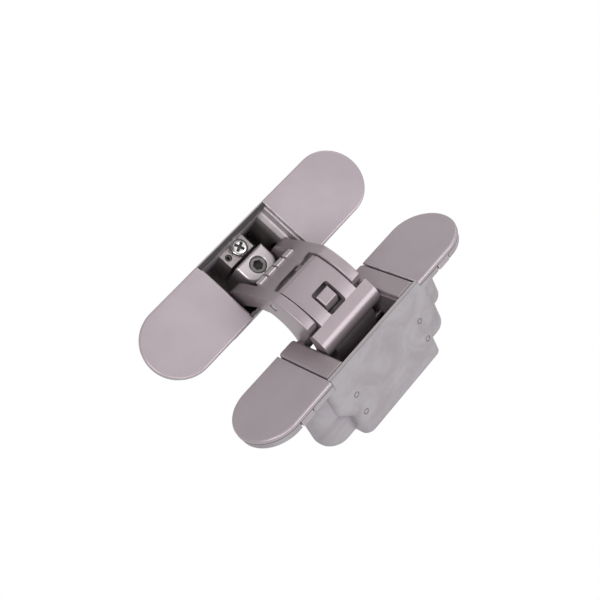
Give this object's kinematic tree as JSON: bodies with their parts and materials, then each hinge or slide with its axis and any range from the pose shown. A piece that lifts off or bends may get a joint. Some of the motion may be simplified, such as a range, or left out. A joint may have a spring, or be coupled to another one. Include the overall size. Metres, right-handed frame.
{
  "type": "concealed door hinge",
  "caption": "Concealed mortise door hinge: two slim rounded housings joined by a forked arm and a wide arm that fold into them, with cover caps and adjusting screws.",
  "frame": {"origin": "centre of the frame housing's flat back", "axes": "+Z along the long axis of the hinge, parallel to the pivots; +Y out of the frame housing's back, so the face looks along -Y; +X away from the arms"},
  "size_m": [0.0868, 0.0615, 0.113],
  "materials": {
    "cast_zinc": "rough bare casting",
    "pocket_zinc": "satin casting",
    "satin_face": "satin silver",
    "satin_arm": "satin silver",
    "bright_steel": "bright plated",
    "pin_steel": "ground steel"
  },
  "bodies": {
    "frame": {"frame_housing": "cast_zinc", "frame_cap_top": "satin_face", "frame_cap_bottom": "satin_face", "frame_carrier_top": "pocket_zinc", "frame_carrier_bottom": "pocket_zinc", "frame_bracket": "pocket_zinc", "frame_pivot_pin": "pin_steel", "side_block": "pocket_zinc", "clamp_block": "pocket_zinc"},
    "t_arm": {"t_arm": "satin_arm", "leaf_slide_pin": "pin_steel", "leaf_sleeve_top": "pin_steel", "leaf_sleeve_bottom": "pin_steel"},
    "fork_arm": {"fork_arm": "satin_arm", "centre_pin": "pin_steel", "frame_slide_pin_top": "pin_steel", "frame_slide_pin_bottom": "pin_steel", "frame_sleeve_top": "pin_steel", "frame_sleeve_bottom": "pin_steel"},
    "leaf": {"leaf_housing": "cast_zinc", "leaf_cap_top": "satin_face", "leaf_cap_bottom": "satin_face", "leaf_carrier_top": "satin_face", "leaf_carrier_bottom": "satin_face", "leaf_pivot_pin_top": "pin_steel", "leaf_pivot_pin_bottom": "pin_steel"},
    "side_screw": {"side_screw": "pin_steel"},
    "clamp_screw": {"clamp_screw": "bright_steel"},
    "lock_screw": {"lock_screw": "pin_steel"}
  },
  "joints": [
    {"name": "frame_pivot", "type": "hinge", "parent": "frame", "child": "t_arm", "pos_m": [-0.0115, -0.0305, 0], "axis": [0, 0, 1], "range_deg": [-31.78, 87.9]},
    {"name": "centre_pivot", "type": "hinge", "parent": "t_arm", "child": "fork_arm", "pos_m": [-0.01686, -0.04804, 0], "axis": [0, 0, 1], "range_deg": [-43.62, 15.78]},
    {"name": "leaf_pivot", "type": "hinge", "parent": "fork_arm", "child": "leaf", "pos_m": [-0.03346, -0.04023, 0], "axis": [0, 0, 1], "range_deg": [-31.79, 87.91]},
    {"name": "side_screw_turn", "type": "hinge", "parent": "frame", "child": "side_screw", "pos_m": [-0.0011, -0.0254, -0.0016], "axis": [0, 1, 0], "continuous": true},
    {"name": "clamp_screw_turn", "type": "hinge", "parent": "frame", "child": "clamp_screw", "pos_m": [0.009, -0.0197, -0.0029], "axis": [0, 1, 0], "continuous": true},
    {"name": "lock_screw_turn", "type": "hinge", "parent": "frame", "child": "lock_screw", "pos_m": [0.0092, -0.0197, 0.0026], "axis": [0, 1, 0], "continuous": true}
  ],
  "couplings": [
    {"joint": "centre_pivot", "follows": "frame_pivot", "ratio": -0.49608},
    {"joint": "leaf_pivot", "follows": "frame_pivot", "ratio": 1}
  ]
}
